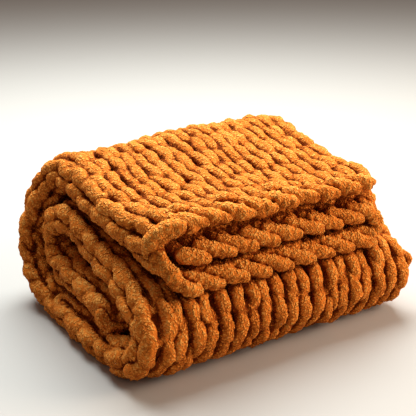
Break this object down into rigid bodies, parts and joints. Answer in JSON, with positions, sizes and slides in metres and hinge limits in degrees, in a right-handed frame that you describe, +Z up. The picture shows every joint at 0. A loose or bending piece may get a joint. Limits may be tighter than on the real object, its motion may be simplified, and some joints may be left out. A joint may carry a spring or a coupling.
{
  "type": "folded chunky knit blanket",
  "caption": "Chunky chenille knit throw blanket in plain stockinette, folded in thirds and rolled over into a low stack that rests on a flat surface.",
  "frame": {"origin": "middle of the stack's box, on the surface it rests on", "axes": "+X along the front fold and the cast-off edge, which is the longest side; -Y is the front face with the cast-off edge, +Y the back; +Z up from the surface"},
  "size_m": [0.4866, 0.407, 0.2522],
  "materials": {
    "knit_blanket": "burnt-orange chenille pile, matt and fuzzy, thick rope-like stitches"
  },
  "bodies": {
    "root": {"knit_blanket": "knit_blanket"}
  },
  "joints": []
}
